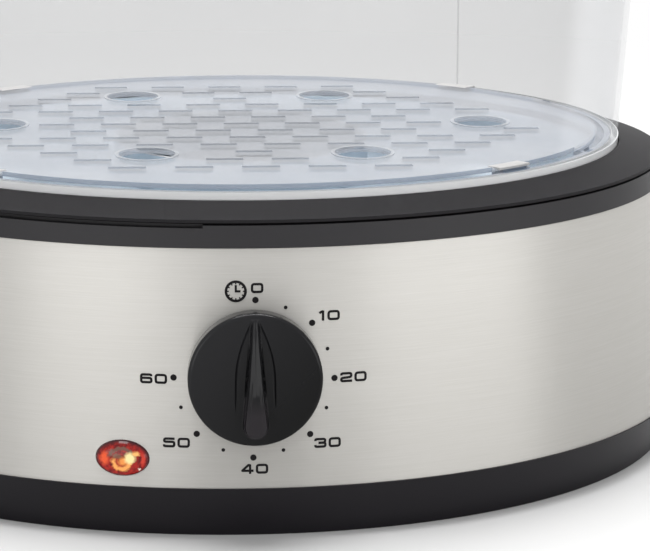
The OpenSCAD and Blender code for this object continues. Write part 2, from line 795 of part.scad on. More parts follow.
// Middles of the steam slots: rows that lean with the seats, each row half a step along
function slot_places() =
  let (rows = ceil(plate_r_out / row_pitch), steps = ceil(plate_r_out / slot_pitch),
       field_r = plate_r_out - slot_margin, keep = seat_hole_r + seat_collar_w + slot_w)
  [for (j = [-rows:rows], i = [-steps:steps])
     let (y = row_pitch * j,
          x = slot_pitch * (i + (j % 2 == 0 ? 0 : 0.5)) - seat_lean * y / seat_y,
          clear = [for (s = egg_seats())
                     if (norm([max(0, abs(s.x - x) - slot_len / 2), s.y - y]) < keep) 1])
       if (norm([abs(x) + slot_len / 2, (abs(y) + slot_w / 2) / plan_ratio]) < field_r
           && len(clear) == 0) [x, y]];

// All steam slots as one flat outline
module slot_field() {
  places = slot_places();
  corners = [[-1, -1], [1, -1], [1, 1], [-1, 1]];
  points = [for (p = places, c = corners) [p.x + c.x * slot_len / 2, p.y + c.y * slot_w / 2]];
  polygon(points, [for (i = [0:len(places) - 1]) [for (k = [0:3]) 4 * i + k]]);
}

// The part of an oval ring that lies between two angles, measured from the front
module arc_slot(from, to) {
  reach = 2 * disc_r;
  intersection() {
    translate([0, 0, disc_rim_z - over]) difference() {
      oval_disc(plate_r_out + arc_slot_w, disc_step + disc_rim_t + 2 * over);
      translate([0, 0, -over])
        oval_disc(plate_r_out, disc_step + disc_rim_t + 4 * over);
    }
    translate([0, 0, disc_rim_z - over]) linear_extrude(disc_step + disc_rim_t + 2 * over)
      polygon([[0, 0], [reach * sin(from), -reach * cos(from)],
               [reach * sin((from + to) / 2), -reach * cos((from + to) / 2)],
               [reach * sin(to), -reach * cos(to)]]);
  }
}

module basket_floor() {
  b0 = bridge_at - bridge_w / 2;
  b1 = bridge_at + bridge_w / 2;
  color("#ccd6de", 0.5) difference() {
    union() {
      oval_ring([
        [0, disc_z], [plate_r_out, disc_z], [plate_r_out, disc_rim_z], [disc_r, disc_rim_z],
        [disc_r, disc_rim_z + disc_rim_t], [plate_r_out + arc_slot_w, disc_rim_z + disc_rim_t],
        [plate_r_out, disc_top], [0, disc_top]]);
      for (s = egg_seats()) translate([s.x, s.y, disc_z])
        cylinder(r = seat_hole_r + seat_collar_w, h = disc_t + seat_collar_h);
    }
    for (s = egg_seats()) translate([s.x, s.y, disc_z - over])
      cylinder(r = seat_hole_r, h = disc_t + seat_collar_h + 2 * over);
    translate([0, 0, disc_z - over]) linear_extrude(disc_t + 2 * over) slot_field();
    for (turn = [0, 180]) rotate([0, 0, turn]) {
      arc_slot(-b0, b0);
      arc_slot(b1, arc_end);
      arc_slot(-arc_end, -b1);
    }
  }
}

// Half widths and heights of the dome, from its rim to its flat top
function dome(r, h, top_r, steps) =
  [for (i = [0:steps]) let (a = 90 * i / steps) [top_r + (r - top_r) * cos(a), h * sin(a)]];

module lid_dome() {
  z0 = lid_z + lid_t;
  outer = [for (p = dome(dome_r, dome_h, dome_flat_r, 8)) [p.x, z0 + p.y]];
  inner = [for (p = dome(dome_r - lid_t, dome_h, dome_flat_r, 8)) [p.x, z0 - lid_t + p.y]];
  color("#dfe6ec", 0.4) difference() {
    oval_ring(concat(
      [[lid_r, lid_z], [lid_r, z0]], outer, [[0, lid_top], [0, lid_top - lid_t]],
      [for (i = [8:-1:0]) inner[i]],
      [[skirt_r - lid_t, lid_z], [skirt_r - lid_t, lid_z - skirt_h],
       [skirt_r, lid_z - skirt_h], [skirt_r, lid_z]]));
    for (s = [-1, 1]) translate([0, s * vent_y, lid_top - lid_t - over])
      cylinder(r = vent_r, h = lid_t + 2 * over);
    for (s = [-1, 1]) translate([s * handle_foot_x, 0, lid_top - lid_t - over])
      cylinder(r = screw_r + fit_gap, h = lid_t + 2 * over);
  }
}

module lid_handle() {
  bar_z = lid_top + handle_h - handle_bar_r;
  color("#26242a") difference() {
    union() {
      for (s = [-1, 1]) translate([s * handle_foot_x, 0, 0]) {
        translate([0, 0, lid_top]) cylinder(r = handle_bar_r, h = handle_h - handle_bar_r);
        translate([0, 0, bar_z]) sphere(r = handle_bar_r);
      }
      translate([-handle_foot_x, 0, bar_z]) rotate([0, 90, 0])
        cylinder(r = handle_bar_r, h = 2 * handle_foot_x);
    }
    for (s = [-1, 1]) translate([s * handle_foot_x, 0, lid_top - over])
      cylinder(r = screw_r + fit_gap / 2, h = lid_screw_len - lid_t + 2 * over);
  }
}

module lid_screws() {
  z = lid_top - lid_t;
  color("#b8b8ba") for (s = [-1, 1]) translate([s * handle_foot_x, 0, z]) {
    translate([0, 0, -screw_head_h]) cylinder(r = screw_head_r, h = screw_head_h);
    cylinder(r = screw_r, h = lid_screw_len);
  }
}

base_shell();
rubber_feet();
base_screws();
steel_band();
water_tank();
heater_plate();
heater_element();
heater_seal();
heater_clamp();
heater_nuts();
thermostat();
thermal_fuse();
timer_screws();
timer_case();
timer_cover();
timer_bell();
timer_contacts();
timer_shaft();
timer_cam();
timer_knob();
lamp_lens();
lamp_holder();
neon_bulb();
cord_gland();
terminal_block();
tray_ring();
drip_tray();
basket_wall();
basket_floor();
lid_dome();
lid_handle();
lid_screws();
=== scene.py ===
# %% [markdown]
# # An oval electric steamer with egg seats
# The solids of this steamer come from its CAD model: base, timer, drip tray, clear basket and
# lid. This file gives them their finishes, and adds what is finer than a solid: the sculpted
# knob, the printed dial, the glow of the pilot lamp, the small moulding marks and dark sheets of
# painted shadow in the floor's gaps. It is written as a lesson, so each step says what the piece
# is, how it could be made and why it is made so.

# %% Load the imported solids
import math

import bmesh
import bpy
import numpy as np
from mathutils import Matrix, Vector


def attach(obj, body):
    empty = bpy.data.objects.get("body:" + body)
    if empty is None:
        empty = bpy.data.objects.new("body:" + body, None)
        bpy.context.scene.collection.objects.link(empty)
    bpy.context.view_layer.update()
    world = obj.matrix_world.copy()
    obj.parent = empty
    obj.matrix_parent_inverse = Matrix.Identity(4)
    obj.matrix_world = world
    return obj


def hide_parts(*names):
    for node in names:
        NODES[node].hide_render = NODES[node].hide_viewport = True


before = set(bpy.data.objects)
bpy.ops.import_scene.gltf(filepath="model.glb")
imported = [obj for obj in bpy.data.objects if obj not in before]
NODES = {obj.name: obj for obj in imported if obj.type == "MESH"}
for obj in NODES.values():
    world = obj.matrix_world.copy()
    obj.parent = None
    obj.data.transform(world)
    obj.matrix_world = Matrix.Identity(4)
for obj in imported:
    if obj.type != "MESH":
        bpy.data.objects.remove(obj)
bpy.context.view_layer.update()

# %% [markdown]
# ## The sizes that the solids share
# A printed mark or a detailed knob has to lie exactly on the solid that carries it. The steel
# band is an oval cone: its half width falls evenly with height, and its depth is a fixed share
# of its width. Two short functions give a point of the band and the way out of it, and every
# piece that lies on the band uses them.

# %% The band as a formula
MM = 0.001                               # a millimetre in metres
PLAN = 0.77                              # depth of every oval as a share of its width
FOOT_TOP, BAND_TOP = 17.2, 94.4          # heights of the band's two edges
BAND_LOW_R, BAND_HIGH_R = 160.3, 151.5   # half widths of the band at those heights
BAND_SLOPE = (BAND_LOW_R - BAND_HIGH_R) / (BAND_TOP - FOOT_TOP)
DIAL_Z = 54.5                            # height of the timer's axis


def band_radius(z):
    """Half width of the band at height z: it falls in a straight line from foot to top."""
    return BAND_LOW_R - BAND_SLOPE * (z - FOOT_TOP)


def on_band(x, z, out=0.0):
    """Points of the band's front in mm: y = -PLAN * sqrt(r(z)^2 - x^2), then out along the
    surface's own normal."""
    x, z = np.asarray(x, float), np.asarray(z, float)
    r = band_radius(z)
    y = -PLAN * np.sqrt(r * r - x * x)
    normal = np.stack([x, y / PLAN ** 2, r * BAND_SLOPE], -1)
    normal /= np.linalg.norm(normal, axis=-1, keepdims=True)
    return np.stack([x, y, z], -1) + out * normal


DIAL = on_band(0, DIAL_Z)
LEAN = math.atan(PLAN * BAND_SLOPE)
print("dial axis at", np.round(DIAL, 2), "leans", round(math.degrees(LEAN), 2), "degrees")

# %% [markdown]
# ## Turning arrays into meshes
# Blender can make shapes with its own tools, but a shape that is a formula is quicker and
# cleaner as an array of points. Every shape here is a row of rings, such as the rings of a turned
# knob or the cross-sections of a strip. `grid_faces` joins neighbouring rings with quads. The two
# ends are still open: `capped` closes each on a single middle point, so that a turned shape has
# no open pole, and `boxed` closes each with one flat face.

# %% A grid of points becomes a mesh
def mesh_object(name, points, faces, body, smooth=True):
    """A mesh from points in mm and faces, at the origin, riding on a body."""
    mesh = bpy.data.meshes.new(name)
    mesh.from_pydata((np.asarray(points) * MM).tolist(), [], faces)
    mesh.polygons.foreach_set("use_smooth", np.full(len(mesh.polygons), smooth))
    shell = bmesh.new()
    shell.from_mesh(mesh)
    bmesh.ops.recalc_face_normals(shell, faces=shell.faces)
    shell.to_mesh(mesh)
    shell.free()
    mesh.update()
    obj = bpy.data.objects.new(name, mesh)
    bpy.context.scene.collection.objects.link(obj)
    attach(obj, body)
    return obj


def grid_faces(rows, cols):
    """Quads of a rows x cols grid of points, numbered row by row; each row is a closed ring."""
    i, j = np.meshgrid(np.arange(rows - 1), np.arange(cols), indexing="ij")
    k = (j + 1) % cols
    quads = np.stack([i * cols + j, i * cols + k, (i + 1) * cols + k, (i + 1) * cols + j], -1)
    return quads.reshape(-1, 4).tolist()


def capped(points, rows, cols, first, last):
    """A closed grid with a middle point and a fan of triangles on its first and last row."""
    n = len(points)
    ring = np.arange(cols)
    after = (ring + 1) % cols
    end = (rows - 1) * cols
    fan_a = np.stack([np.full(cols, n), after, ring], -1)
    fan_b = np.stack([np.full(cols, n + 1), end + ring, end + after], -1)
    faces = grid_faces(rows, cols) + fan_a.tolist() + fan_b.tolist()
    return np.vstack([points, first, last]), faces


def boxed(rows, cols):
    """Faces of a closed grid with one flat face on its first and last row."""
    return grid_faces(rows, cols) + [list(range(cols))[::-1],
                                     [(rows - 1) * cols + k for k in range(cols)]]


print("a box is 2 rings of 4 points with", len(boxed(2, 4)), "faces")

# %% [markdown]
# ## Shader maths as plain Python
# A node tree is a formula drawn as boxes. This small class wraps an output socket, so that
# `mask * 0.5 + 0.1` adds the Math nodes by itself. Colours are left to Mix nodes, because a Math
# node would turn them grey. `Tree` adds every other kind of node, in a material or in the world.
# Light Path tells what a ray is for, and `seen` uses it to part what is seen from what lights.

# %% Wires and trees
class Wire:
    """An output socket that can be used in Python expressions."""

    def __init__(self, tree, socket):
        self.tree, self.socket = tree, socket

    def maths(self, operation, *values):
        return self.tree.add("Math", dict(enumerate(values)), operation=operation)

    def __add__(self, other):
        return self.maths("ADD", self, other)

    def __sub__(self, other):
        return self.maths("SUBTRACT", self, other)

    def __mul__(self, other):
        return self.maths("MULTIPLY", self, other)

    def __pow__(self, other):
        return self.maths("POWER", self, other)

    def __gt__(self, other):
        return self.maths("GREATER_THAN", self, other)

    def __lt__(self, other):
        return self.maths("LESS_THAN", self, other)

    def __abs__(self):
        return self.maths("ABSOLUTE", self)

    def at_most(self, limit):
        return self.maths("MINIMUM", self, limit)


class Tree:
    """A node tree that Python expressions can add to."""

    def __init__(self, owner):
        owner.use_nodes = True
        self.nodes, self.links = owner.node_tree.nodes, owner.node_tree.links

    def fill(self, socket, value):
        """Puts a number, a colour or a wire on an input socket."""
        if isinstance(value, Wire):
            self.links.new(value.socket, socket)
        else:
            socket.default_value = value

    def add(self, kind, inputs=None, out=0, **settings):
        """A node of a kind, with values or wires for its sockets, and one of its outputs."""
        node = self.nodes.new("ShaderNode" + kind)
        for key, value in settings.items():
            setattr(node, key, value)
        for key, value in (inputs or {}).items():
            self.fill(node.inputs[key], value)
        return Wire(self, node.outputs[out])

    def seen(self):
        """1 for what the camera, mirrors and clear plastic see, and 0 for what lights a piece."""
        flags = [self.add("LightPath", out=f"Is {kind} Ray")
                 for kind in ("Camera", "Glossy", "Transmission")]
        return flags[0] + flags[1] + flags[2]


# %% [markdown]
# A `Finish` is a material with one Principled shader. Numbers that are the same all over go on
# the shader's own sockets, and what varies comes from Object coordinates, so that a pattern
# stays with its piece when the piece moves. Lengths in a material are metres.

# %% Finishes
class Finish(Tree):
    """A material with one Principled shader, its numbers set on the shader's own sockets."""

    def __init__(self, name, **numbers):
        self.material = bpy.data.materials.new(name)
        super().__init__(self.material)
        self.shader = self.nodes["Principled BSDF"]
        for socket, value in numbers.items():
            self.set(socket.replace("_", " "), value)
        self.place = self.add("TexCoord", out="Object")

    def set(self, socket, value):
        """Puts a number, a colour or a wire on a socket of the shader."""
        self.fill(self.shader.inputs[socket], value)

    def split(self):
        """X, Y and Z of the Object coordinates."""
        node = self.add("SeparateXYZ", {0: self.place}).socket.node
        return [Wire(self, out) for out in node.outputs]

    def stretched(self, x, y, z):
        """Object coordinates scaled along each axis."""
        return self.add("Mapping", {"Vector": self.place, "Scale": (x, y, z)})

    def noise(self, scale, detail=2.0, roughness=0.5, place=None):
        """Noise from 0 to 1, with about `scale` patches to a metre."""
        return self.add("TexNoise", {"Vector": place or self.place, "Scale": scale,
                                     "Detail": detail, "Roughness": roughness})

    def between(self, value, low, high, first=0.0, last=1.0):
        """`first` where the value is at `low`, going in a straight line to `last` at `high`."""
        return self.add("MapRange", {0: value, 1: low, 2: high, 3: first, 4: last})

    def mix(self, factor, a, b):
        """Blends two colours by a factor."""
        return self.add("Mix", {0: factor, 6: a, 7: b}, 2, data_type="RGBA")

    def ramp(self, wire, low, high):
        """Two colours, each a (place, colour) pair, blended between their places."""
        ramp = self.add("ValToRGB", {0: wire})
        for element, (place, color) in zip(ramp.socket.node.color_ramp.elements, (low, high)):
            element.position, element.color = place, color
        return ramp

    def bump(self, height, distance):
        """Relief from a height of 0 to 1, distance metres deep."""
        self.set("Normal", self.add("Bump", {"Strength": 1.0, "Distance": distance,
                                             "Height": height}))

    def on(self, *names):
        """Puts the finish on solids, by their names."""
        for name in names:
            slots = NODES[name].material_slots
            if not slots:
                NODES[name].data.materials.append(self.material)
            for slot in slots:
                slot.material = self.material
        return self


def rgb(*screen):
    """A colour as it is seen on screen, 0 to 255, as the linear light that shaders use. This is
    the sRGB curve: v / 12.92 up to 10 and ((v + 0.055) / 1.055) ^ 2.4 above it, of v / 255."""
    return (*[((v / 255 + 0.055) / 1.055) ** 2.4 if v > 10 else v / 255 / 12.92
              for v in screen], 1.0)


WHITE = (1.0, 1.0, 1.0, 1.0)
print("the grey 128 on screen is", round(rgb(128, 128, 128)[0], 3), "of white in light")

# %% [markdown]
# ## Moulded black plastic
# The foot is smooth and dark; the rim of the base and the ring of the tray are a little lighter,
# because they are moulded with a fine satin grain. All are one plastic with a few numbers
# changed. The ring of the tray slopes up towards the lamps, so its colour is made darker and its
# gloss weaker than the rim's: painted shade. The grain is a very small noise in the relief, and a
# larger, soft noise varies the roughness, as handling does.

# %% Black plastics
HANDLED, GRAIN = 45.0, 3200.0            # patches of about 2 cm, and a grain of 0.3 mm
ROUGH_SPREAD, GRAIN_LIGHT = 0.06, 1.25   # how much they vary the roughness and the colour


def moulded(name, color, rough, grain, **numbers):
    """Moulded plastic: its colour, its mean roughness and the depth of its grain in metres."""
    finish = Finish(name, **numbers)
    fine = finish.noise(GRAIN, 2.0, 0.6)
    lighter = (*[part * GRAIN_LIGHT for part in color[:3]], 1.0)
    finish.set("Base Color", finish.mix(fine, color, lighter))
    handled = finish.noise(HANDLED, 3.0)
    finish.set("Roughness", handled * ROUGH_SPREAD + (rough - ROUGH_SPREAD / 2))
    finish.bump(fine, grain)
    return finish


moulded("moulded_foot_black", rgb(23, 21, 25), 0.36, 0.000012,
        Specular_IOR_Level=0.2).on("base_shell", "lid_handle")
moulded("satin_rim_black", rgb(43, 42, 44), 0.42, 0.00003,
        Specular_IOR_Level=0.26).on("water_tank")
# Painted shade: the ring is the rim's plastic with a darker colour and weaker gloss, to darken its
# upward slope.
moulded("satin_ring_black_painted_shade", rgb(33, 32, 34), 0.55, 0.00003,
        Specular_IOR_Level=0.12).on("tray_ring")
moulded("soft_rubber", rgb(24, 24, 24), 0.75, 0.00005).on("rubber_feet", "cord_gland")
print("black plastics done; materials in the file:", len(bpy.data.materials))

# %% [markdown]
# ## Brushed steel
# The band is stainless sheet, brushed along its length before it is rolled round the base. Each
# brush line is level, so the pattern is a noise stretched far along X and Y and packed tightly
# along Z. The same lines make the highlight spread upright, which the shader's anisotropy does
# without a texture. Low on the band the colour is darker: painted shade, where the steel mirrors
# the shadowed floor.

# %% Steel band
HAIRS, STREAKS = (70, 70, 8000), (20, 20, 2600)  # brush lines to a metre along X, Y and Z
SHADE_FROM, SHADE_FULL = 82.0, 22.0                # heights where the painted shade starts and is full
SHADE_MOST = 0.2                                  # its share there

steel = Finish("brushed_steel", Metallic=1.0, Anisotropic=0.9, Anisotropic_Rotation=0.25)
hair = steel.noise(1.0, 3.0, 0.65, steel.stretched(*HAIRS))
streak = steel.noise(1.0, 2.0, 0.5, steel.stretched(*STREAKS))
brushed = steel.ramp(streak * 0.3 + hair * 0.7,
                     (0.30, rgb(197, 195, 190)), (0.70, rgb(208, 206, 202)))
# Painted shade: the colour darkens towards the bottom of the band, where the steel mirrors the
# shadowed floor.
painted_shade_low = steel.between(steel.split()[2], SHADE_FROM * MM, SHADE_FULL * MM, last=SHADE_MOST)
steel.set("Base Color", steel.mix(painted_shade_low, brushed, rgb(96, 94, 90)))
steel.set("Roughness", hair * 0.06 + 0.45)
steel.on("steel_band")

plated = Finish("plated_parts", Metallic=1.0)
spots = plated.noise(300.0, 3.0)
plated.set("Base Color", plated.ramp(spots, (0.3, rgb(176, 174, 170)), (0.7, rgb(205, 203, 199))))
plated.set("Roughness", spots * 0.2 + 0.22)
plated.on("base_screws", "heater_plate", "heater_clamp", "heater_nuts", "timer_screws",
          "timer_cover", "timer_bell", "timer_shaft", "lid_screws", "heater_element")
print("metals:", steel.material.name, plated.material.name)

# %% [markdown]
# ## Pieces inside the base
# The timer's case, its cam and the lamp's holder are white moulded nylon; the terminal block,
# the thermostat and the fuse are unglazed ceramic; the contacts are brass and the seal is red
# silicone. They show only when the base is opened, but each has its own finish.

# %% Inner pieces
moulded("white_nylon", rgb(226, 223, 212), 0.5, 0.00003).on(
    "timer_case", "timer_cam", "lamp_holder")
moulded("pale_ceramic", rgb(222, 214, 199), 0.7, 0.00006).on(
    "terminal_block", "thermostat", "thermal_fuse")
moulded("red_silicone", rgb(168, 62, 44), 0.55, 0.00003).on("heater_seal")

brass = Finish("contact_brass", Metallic=1.0)
worn = brass.noise(260.0)
brass.set("Base Color", brass.mix(worn, rgb(196, 146, 84), rgb(222, 178, 112)))
brass.set("Roughness", worn * 0.2 + 0.25)
brass.on("timer_contacts")
print("inner finishes done; materials in the file:", len(bpy.data.materials))

# %% [markdown]
# ## Clear and frosted plastic
# The basket and the lid are thin clear plastic. True refraction is costly and adds nothing in a
# wall this thin, so the finish uses Alpha: most light goes straight through and a little is
# scattered by the pale tint. Seen edge-on there is more plastic to look through, which Layer
# Weight gives. The foot of the wall is a thick ring, so it is almost solid.

# %% Clear wall and lid
RING_TOP = 109.45                         # height of the wall's foot ring
WALL_ALPHA, EDGE_ALPHA, RING_ALPHA = 0.10, 0.16, 0.8   # the wall, and what its edge and ring add

clear = Finish("clear_plastic", Roughness=0.08, IOR=1.49)
edge_on = clear.add("LayerWeight", {"Blend": 0.35}, "Facing")
foot_ring = clear.split()[2] < RING_TOP * MM
glance = clear.between(edge_on, 0.31, 0.34)
wall = clear.mix(glance, rgb(98, 100, 104), rgb(196, 198, 202))
clear.set("Base Color", clear.mix(foot_ring, wall, rgb(248, 249, 250)))
clear.set("Alpha", (edge_on ** 2.0) * EDGE_ALPHA + WALL_ALPHA + foot_ring * RING_ALPHA)
clear.on("basket_wall", "lid_dome")
print("clear plastic on:", "basket_wall", "lid_dome")

# %% [markdown]
# The basket's floor is the same plastic with a frosted face, so its alpha is higher. One solid
# has several looks: a milky face, cut sides in the slots that are darker deep down, a denser
# underside and a bluish outer edge. The dark deep sides and the bluish edge are painted shade,
# for the shaded depth of the slots and holes and the shaded gap under the floor's edge. Each look
# has a mask of 0 or 1, which is a plain comparison of the height, or of the half width of the
# oval that a point lies on.

# %% Frosted floor
PLATE_TOP, PLATE_R = 110.8, 127.3         # height of the floor's face, and its half width
SKIN, DEEP, THICK = 0.05, 0.35, 1.55      # depths below the face where the looks change
EDGE_IN, EDGE_OUT = 0.3, 0.15             # how far the painted shade of the outer edge reaches in and out

frosted = Finish("frosted_plastic", IOR=1.49)
cloud = frosted.noise(38.0, 3.0)
grit = frosted.noise(2600.0, 2.0)
fx, fy, fz = frosted.split()
oval_r = (fx ** 2.0 + (fy * (1 / PLAN)) ** 2.0) ** 0.5
collar = fz > (PLATE_TOP + SKIN) * MM
cut_side = fz < (PLATE_TOP - SKIN) * MM
painted_shade_deep = fz < (PLATE_TOP - DEEP) * MM
underside = fz < (PLATE_TOP - THICK) * MM
outer = (oval_r > (PLATE_R - EDGE_IN) * MM) * (oval_r < (PLATE_R + EDGE_OUT) * MM)
painted_shade_edge = cut_side * outer
face = frosted.ramp(cloud, (0.3, rgb(240, 242, 246)), (0.7, rgb(248, 249, 251)))
face = frosted.mix(cut_side + collar * 0.3, face, rgb(240, 241, 243))
# Painted shade: the cut sides are darker deep in the slots and holes, and the outer edge is a
# bluish shade for the gap under it.
face = frosted.mix(painted_shade_deep * 0.6, face, rgb(150, 160, 176))
frosted.set("Base Color", frosted.mix(painted_shade_edge, face, rgb(168, 185, 206)))
frosted.set("Roughness", grit * 0.15 + 0.30)
# Each look adds its own share to the alpha of the plain face, 0.30.
frosted.set("Alpha", cloud * 0.08 + 0.30 + collar * 0.08 + underside * 0.36 + painted_shade_edge * 0.3)
frosted.bump(grit, 0.00002)
frosted.on("basket_floor")
print("frosted floor from", PLATE_TOP - THICK, "to", PLATE_TOP, "mm")

# %% [markdown]
# The tray is milky plastic with a cool tint. The top of its round collar touches the floor above
# it, and is a paler ring.

# %% Drip tray
COLLAR_TOP = 106.5                        # height of the steam opening's collar

tray = Finish("translucent_tray", IOR=1.49)
milk = tray.noise(30.0, 2.0)
bowl = tray.mix(milk, rgb(228, 242, 255), rgb(236, 248, 255))
collar_face = tray.split()[2] > (COLLAR_TOP - 0.1) * MM
tray.set("Base Color", tray.mix(collar_face, bowl, rgb(246, 247, 250)))
tray.set("Roughness", milk * 0.1 + 0.32)
tray.on("drip_tray")
print("plastics:", clear.material.name, frosted.material.name, tray.material.name)

# %% [markdown]
# ## The pilot lamp
# A neon lamp glows behind a red lens. The lens is not evenly lit: the neon's disc is almost
# yellow, the moulded inside of the lens breaks the light into patches, and the edge is dark red.
# The glow is worked out from the distance to the lamp's own middle in Object coordinates, and a
# noise bends that distance, so the patches stay with the lens.

# %% Lens and neon
LAMP_X, LAMP_Z = -42.0, 26.5              # middle of the lens
LENS_W, LENS_H = 17.2, 11.6               # its width and height
WOBBLE_X, WOBBLE_Z = 2.2, 1.8             # how far the moulded patches bend the light, in mm

lens = Finish("red_lens", Roughness=0.08, IOR=1.5, Emission_Strength=1.0,
              Specular_IOR_Level=0.25)
px, _, pz = lens.split()
across, upward = (px - LAMP_X * MM) * 1000, (pz - LAMP_Z * MM) * 1000
# The second noise is read from another place, so that the two don't match.
elsewhere = lens.add("Mapping", {"Vector": lens.place, "Location": (0.7, 0.3, 0.9)})
waves, ripple = lens.noise(700.0, 2.0, 0.6), lens.noise(520.0, 2.0, 0.6, elsewhere)
bent_x, bent_z = across + (waves - 0.5) * WOBBLE_X, upward + (ripple - 0.5) * WOBBLE_Z


def oval(a, b, wide, high):
    """Distance from the origin, 1 on an oval of half width `wide` and half height `high`."""
    return ((a * (1 / wide)) ** 2.0 + (b * (1 / high)) ** 2.0) ** 0.5


def faded(value, full, none):
    """1 where the value is at `full`, falling in a straight line to 0 at `none`."""
    return lens.between(value, full, none, 1.0, 0.0)


def patch(x, z, wide, high, full, none):
    """A lit patch round (x, z): 1 out to `full` of its oval, fading to 0 at `none` of it."""
    return faded(oval(bent_x - x, bent_z - z, wide, high), full, none)


def hoop(x, z, wide, high, size, full, none):
    """A lit ring at `size` of the oval round (x, z), fading to both sides."""
    return faded(abs(oval(bent_x - x, bent_z - z, wide, high) - size), full, none)


LIGHTS = [
    (patch(-5.6, 0.2, 1.5, 2.3, 0.5, 1.2), rgb(236, 92, 48)),         # facets at the left end
    (patch(6.5, 0.2, 0.7, 1.9, 0.5, 1.3), rgb(206, 62, 44)),          # and at the right end
    (hoop(-0.3, -0.4, 4.5, 4.3, 0.95, 0.06, 0.16) * faded(upward, 1.6, 0.4),
     rgb(112, 84, 72)),                                               # dark rim of the bulb
    (hoop(-0.3, -0.4, 3.0, 3.1, 0.85, 0.10, 0.34) * faded(upward, -0.6, 1.6),
     rgb(255, 176, 96)),                                              # bright bowl of the bulb
    (patch(-1.7, 1.3, 1.6, 0.9, 0.6, 1.2), rgb(120, 84, 66)),         # dark gap over the discs
    (patch(0.3, -0.4, 1.7, 1.6, 0.4, 1.2), rgb(246, 158, 78)),        # the dimmer disc
    (patch(2.3, 0.7, 1.9, 1.7, 0.6, 1.25), rgb(255, 240, 172)),       # the glowing disc
    (patch(4.5, 2.1, 1.3, 0.7, 0.5, 1.3), rgb(255, 196, 116)),        # its glance above
    (patch(5.4, -3.2, 0.5, 0.5, 0.5, 1.2), rgb(255, 232, 214)),       # a spark below
    (faded(oval(across, upward, LENS_W / 2, LENS_H / 2), 0.97, 0.84),
     rgb(44, 12, 18)),                                                # dark edge of the lens
]
glow = lens.ramp(waves, (0.35, rgb(96, 8, 10)), (0.62, rgb(168, 34, 24)))
for mask, light in LIGHTS:
    glow = lens.mix(mask, glow, light)
lens.set("Base Color", rgb(46, 6, 8))
lens.set("Emission Color", glow)
lens.on("lamp_lens")

neon = Finish("neon_glass", Roughness=0.1, Emission_Strength=2.0)
neon.set("Base Color", rgb(255, 150, 60))
neon.set("Emission Color", neon.mix(neon.noise(400.0), rgb(255, 120, 30), rgb(255, 190, 90)))
neon.on("neon_bulb")
print("lamp:", lens.material.name, neon.material.name)

# %% [markdown]
# ## The timer knob
# The CAD knob is a bevelled disc with a straight-sided grip. The real grip is sculpted: a crest
# that starts as a point at the top and widens to a round end at the bottom, with a shallow scoop
# on each side for the fingers. That is a height over the disc, so the knob is made as rings of
# points whose height is a formula, and it stands for the CAD knob.

# %% Height of the knob's face
KNOB_R, KNOB_T, KNOB_GAP = 21.2, 9.0, 1.2      # half width, thickness, and gap to the band
BEVEL = 1.3                                    # rounding of the disc's edge
CREST_TOP, CREST_END = 19.4, -14.2             # how high the crest's point and its end lie
TIP_H, GRIP_H = 0.5, 5.1                       # how far they stand out of the disc
TIP_W, CREST_GAIN, EDGE = 0.3, 2.8, 1.1        # half width at the point, gain, slope's width
PAD_H, ROOF_SLOPE = 0.3, 0.36                  # the thumb pad's share, and the roof's slope
ARCH_W, ARCH_FOOT, ARCH_TOP = 6.4, -0.8, 20.6  # half width, foot and point of the scoops' arch
SCOOP, SCOOP_END = 0.9, -16.0                  # depth of a scoop, and how low it reaches


def smooth(x, low, high):
    """0 below low, 1 above high, and 3t^2 - 2t^3 between them."""
    t = np.clip((x - low) / (high - low), 0, 1)
    return t * t * (3 - 2 * t)


def crest_height(aside, beside, crest_w, t):
    """The crest rises as TIP_H + (GRIP_H - PAD_H - TIP_H) * smooth(t), with t going from 0 at
    its point to 1 at its round end. Near the point it is a roof that falls by ROOF_SLOPE to each
    side, and near the end it carries the raised pad."""
    inside = beside - crest_w
    rise = TIP_H + (GRIP_H - PAD_H - TIP_H) * smooth(t, 0.0, 0.8)
    crest = rise * (1 - smooth(inside, 0.0, EDGE))
    pad = PAD_H * (1 - smooth(inside, -0.95, -0.6)) * smooth(t, 0.5, 0.75)
    roof = ROOF_SLOPE * np.minimum(aside, crest_w) * (inside < EDGE)
    return crest + pad - roof * (1 - smooth(t, 0.6, 0.8)) * smooth(t, 0.05, 0.3)


def knob_height(a, b):
    """Height over the disc at a across and b up: the crest, less a scoop on each side that ends
    in a pointed arch. The crest's half width is TIP_W + CREST_GAIN * t^1.1, and the arch's is
    ARCH_W * (1 - s^2), with s going from 0 at its foot to 1 at its point."""
    t = np.clip((CREST_TOP - b) / (CREST_TOP - CREST_END), 0, 1)
    beside = np.where(b < CREST_END, np.hypot(a, b - CREST_END), np.abs(a))
    beside = np.where(b > CREST_TOP, np.hypot(a, b - CREST_TOP), beside)
    crest_w = TIP_W + CREST_GAIN * t ** 1.1
    s = np.clip((b - ARCH_FOOT) / (ARCH_TOP - ARCH_FOOT), 0, 1)
    start = crest_w + EDGE / 2
    span = (np.abs(a) - start) / np.maximum(ARCH_W * (1 - s ** 2) - start, 0.2)
    scoop = SCOOP * np.sqrt(1 - np.clip(span, 0, 1) ** 5) * smooth(beside - crest_w, 0.0, EDGE)
    scoop *= smooth(b, SCOOP_END, ARCH_FOOT + 4) * smooth(CREST_TOP - b, 0.0, 1.0)
    return crest_height(np.abs(a), beside, crest_w, t) - scoop


print("the grip stands", round(float(knob_height(0.0, CREST_END)), 2), "mm out of the disc")

# %% [markdown]
# The knob is turned like a lathe piece, ring by ring from the middle of its face, round the
# bevel, down the side and back under to the shaft. Only the rings of the face get the formula's
# height, and it fades out before the bevel.

